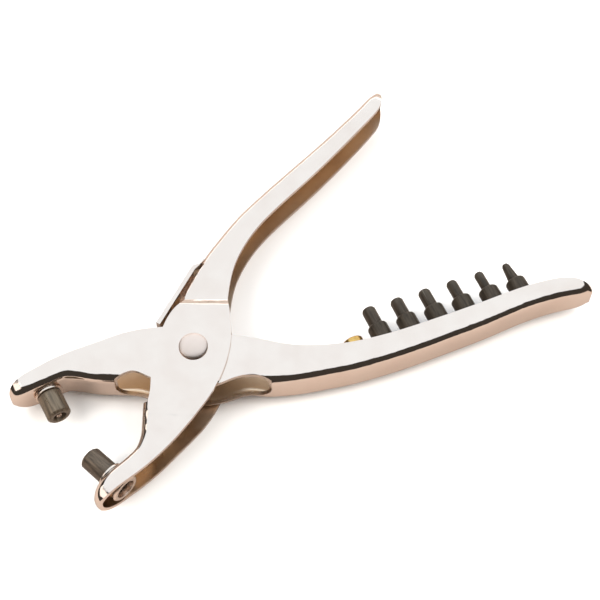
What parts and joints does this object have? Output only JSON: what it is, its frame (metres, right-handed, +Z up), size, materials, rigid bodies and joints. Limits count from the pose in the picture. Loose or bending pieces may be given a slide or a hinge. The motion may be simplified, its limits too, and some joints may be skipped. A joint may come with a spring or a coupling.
{
  "type": "grommet setter",
  "caption": "Hand-held eyelet and grommet setting pliers: two pressed plated levers on a rivet, screw-in dies in the jaws, spare punches stored in one handle.",
  "frame": {"origin": "on the rivet axis, at the flat underside of the rivet tail that the tool lies on", "axes": "+Z up along the rivet axis, out of the rivet head; the tool lies flat and open; +X along its length from the jaws towards the storage handle; +Y towards the front handle"},
  "size_m": [0.2115, 0.1762, 0.0217],
  "materials": {
    "nickel_plate": "bright nickel plate on pressed sheet steel, lightly polished",
    "plated_fittings": "nickel plate on turned and pressed steel",
    "black_steel": "black oxide, satin",
    "anvil_brass": "turned brass",
    "spring_steel": "drawn spring wire, oiled"
  },
  "bodies": {
    "storage_lever_body": {"storage_lever": "nickel_plate", "spacer_sleeve": "plated_fittings", "return_spring": "spring_steel", "upper_socket_bush": "plated_fittings", "upper_die": "black_steel", "upper_die_pin": "plated_fittings", "punch_rack": "plated_fittings", "rack_stud_1": "plated_fittings", "rack_stud_2": "plated_fittings"},
    "front_lever_body": {"front_lever": "nickel_plate", "pivot_rivet": "plated_fittings", "tail_washer": "plated_fittings", "lower_socket_bush": "plated_fittings", "lower_die": "black_steel"},
    "brass_anvil_body": {"brass_anvil": "anvil_brass"},
    "punch_1_body": {"punch_1": "black_steel"},
    "punch_2_body": {"punch_2": "black_steel"},
    "punch_3_body": {"punch_3": "black_steel"},
    "punch_4_body": {"punch_4": "black_steel"},
    "punch_5_body": {"punch_5": "black_steel"},
    "punch_6_body": {"punch_6": "black_steel"}
  },
  "joints": [
    {"name": "lever_pivot", "type": "hinge", "parent": "storage_lever_body", "child": "front_lever_body", "pos_m": [0, 0, 0.0108], "axis": [0, 0, -1], "range_deg": [0, 20.4], "stiffness_Nm_per_rad": 0.7, "springref_deg": -28.65, "deforming": ["return_spring"]},
    {"name": "brass_anvil_unscrew", "type": "slide", "parent": "storage_lever_body", "child": "brass_anvil_body", "axis": [-0.4067, 0.9135, 0], "range_m": [0, 0.014]},
    {"name": "punch_1_unscrew", "type": "slide", "parent": "storage_lever_body", "child": "punch_1_body", "axis": [-0.4067, 0.9135, 0], "range_m": [0, 0.014]},
    {"name": "punch_2_unscrew", "type": "slide", "parent": "storage_lever_body", "child": "punch_2_body", "axis": [-0.4067, 0.9135, 0], "range_m": [0, 0.014]},
    {"name": "punch_3_unscrew", "type": "slide", "parent": "storage_lever_body", "child": "punch_3_body", "axis": [-0.4067, 0.9135, 0], "range_m": [0, 0.014]},
    {"name": "punch_4_unscrew", "type": "slide", "parent": "storage_lever_body", "child": "punch_4_body", "axis": [-0.4067, 0.9135, 0], "range_m": [0, 0.014]},
    {"name": "punch_5_unscrew", "type": "slide", "parent": "storage_lever_body", "child": "punch_5_body", "axis": [-0.4067, 0.9135, 0], "range_m": [0, 0.014]},
    {"name": "punch_6_unscrew", "type": "slide", "parent": "storage_lever_body", "child": "punch_6_body", "axis": [-0.4067, 0.9135, 0], "range_m": [0, 0.014]}
  ]
}
